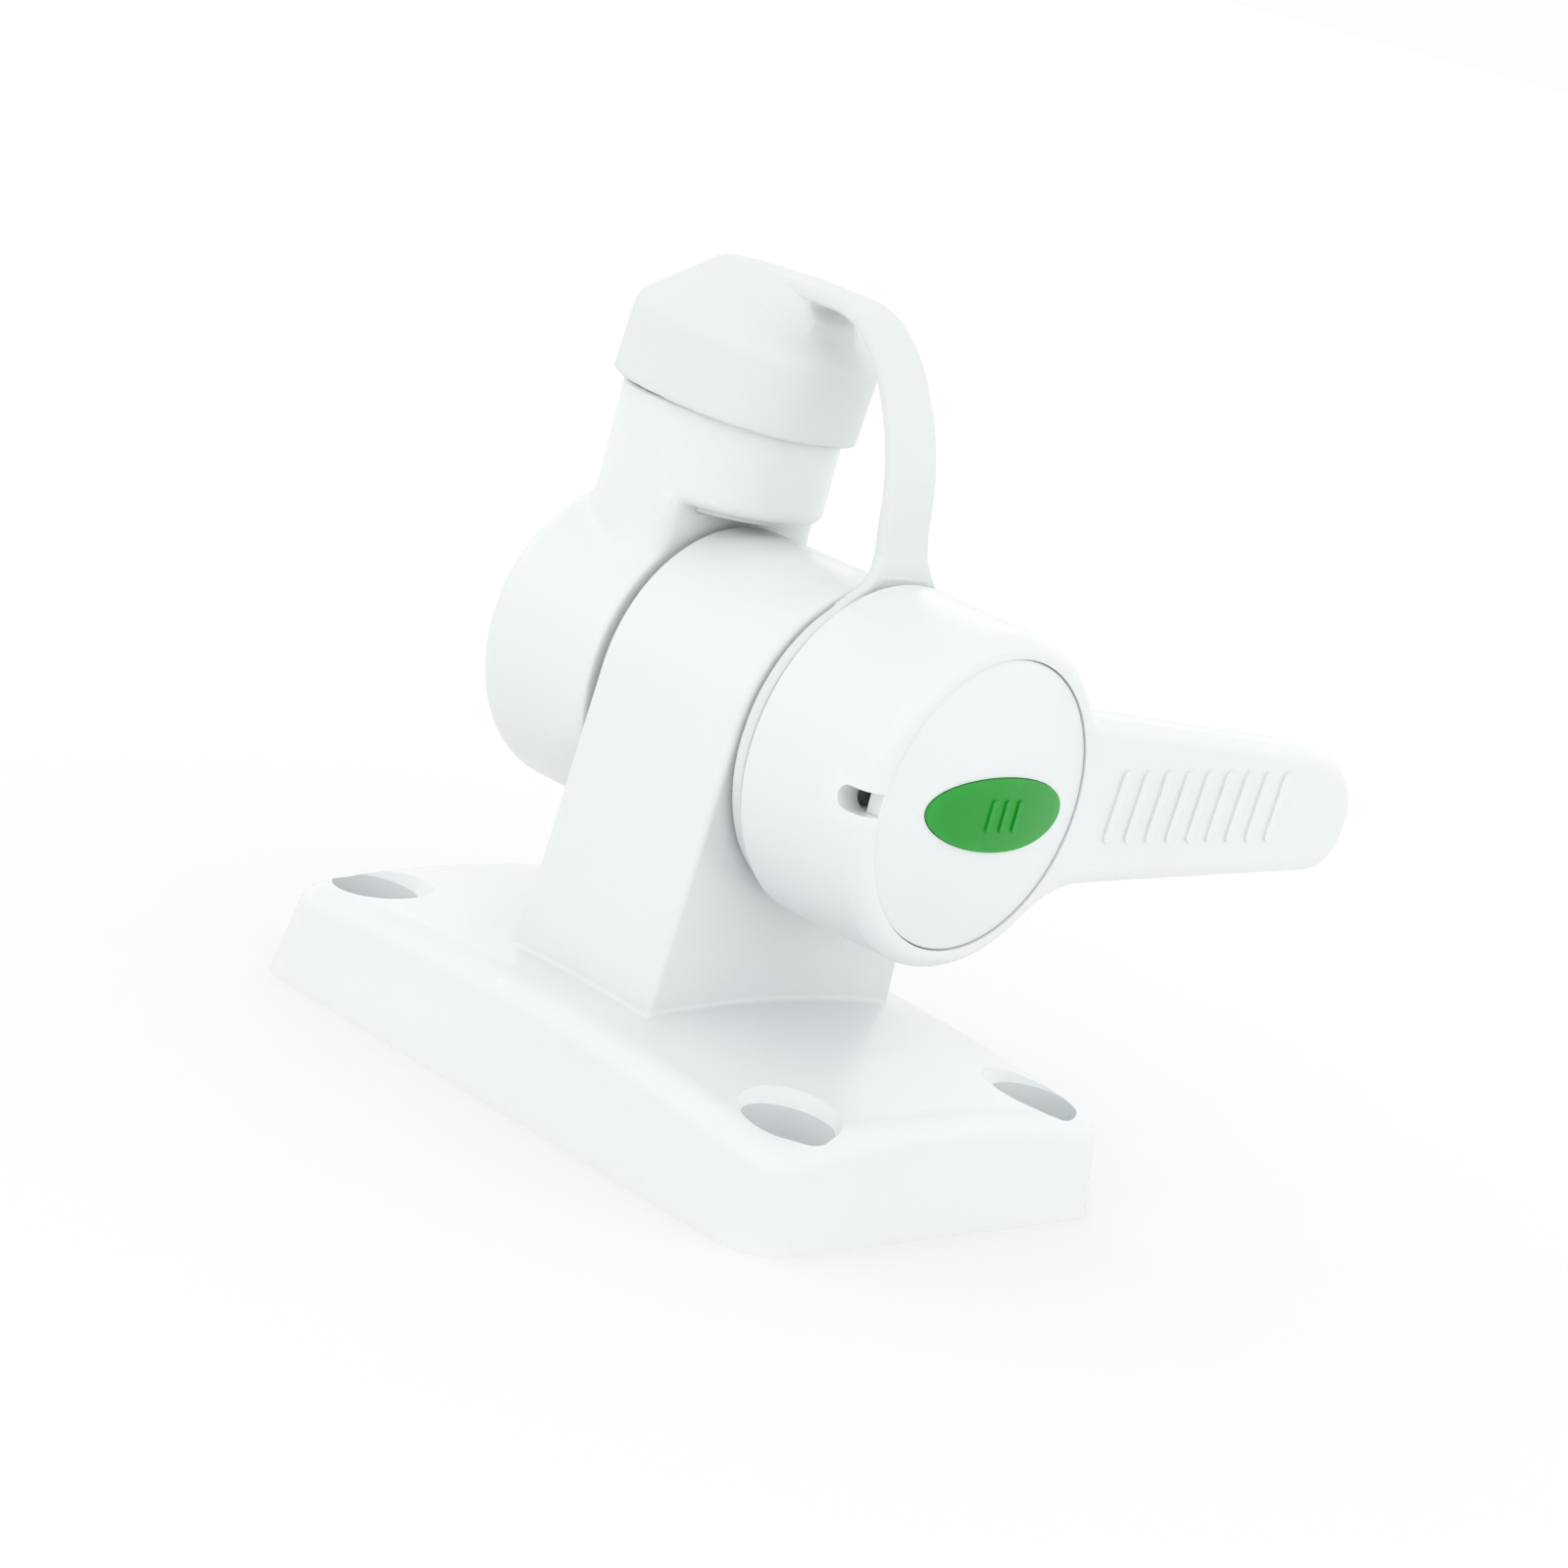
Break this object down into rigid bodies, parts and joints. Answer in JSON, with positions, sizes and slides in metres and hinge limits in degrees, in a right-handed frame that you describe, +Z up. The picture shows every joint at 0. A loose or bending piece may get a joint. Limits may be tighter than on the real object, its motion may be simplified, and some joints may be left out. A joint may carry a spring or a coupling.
{
  "type": "antenna ratchet mount",
  "caption": "Deck mount for a threaded antenna: a plate with a round head, an arm that tilts on face teeth, a locking lever and a tethered soft cap over the stud.",
  "frame": {"origin": "centre of the base's underside, midway between the four mounting holes", "axes": "+Z up from the mounting face; the base's long side and the pivot lie along Y, with the arm on the +Y side and the knob on the -Y side; the released lever points along +X"},
  "size_m": [0.1121, 0.092, 0.1017],
  "materials": {
    "white_nylon": "satin moulded white nylon",
    "white_rubber": "matte white flexible moulding",
    "green_plastic": "gloss green inlay",
    "stainless_steel": "brushed stainless",
    "spring_steel": "drawn wire",
    "acetal": "machined natural acetal",
    "black_rubber": "matte black rubber",
    "nickel_plate": "nickel plated",
    "insulator_plastic": "turned fluoropolymer",
    "brass": "turned brass"
  },
  "bodies": {
    "base": {"base_pedestal": "white_nylon", "stop_pin": "stainless_steel", "thrust_washer": "acetal", "release_spring": "spring_steel"},
    "lever": {"lever_knob": "white_nylon", "lever_insert": "brass", "cover_disc": "white_nylon", "badge": "green_plastic"},
    "bolt": {"clamp_bolt": "stainless_steel", "bolt_washer": "stainless_steel", "stop_washer": "stainless_steel", "stop_screw": "stainless_steel"},
    "arm": {"arm": "white_nylon", "spring_seat": "stainless_steel", "cap_ring": "white_rubber", "cap_strap": "white_rubber", "threaded_stud": "white_nylon", "stud_seal": "black_rubber", "connector_body": "nickel_plate", "connector_insulator": "insulator_plastic", "connector_contact": "brass", "cable_grommet": "black_rubber"},
    "cap": {"cap": "white_rubber"}
  },
  "joints": [
    {"name": "lever_turn", "type": "hinge", "parent": "base", "child": "lever", "pos_m": [0, -0.0252, 0.0504], "axis": [0, -1, 0], "range_deg": [0, 90]},
    {"name": "bolt_draw", "type": "slide", "parent": "base", "child": "bolt", "axis": [0, -1, 0], "range_m": [0, 0.00081], "deforming": ["release_spring"]},
    {"name": "arm_swing", "type": "hinge", "parent": "bolt", "child": "arm", "pos_m": [0, 0.0196, 0.0504], "axis": [0, 1, 0], "range_deg": [-90, 90]},
    {"name": "cap_lift", "type": "slide", "parent": "arm", "child": "cap", "axis": [0, 0, 1], "range_m": [0, 0.018], "deforming": ["cap_strap"]}
  ],
  "couplings": [
    {"joint": "bolt_draw", "follows": "lever_turn", "m_per_rad": 0.0005093}
  ]
}
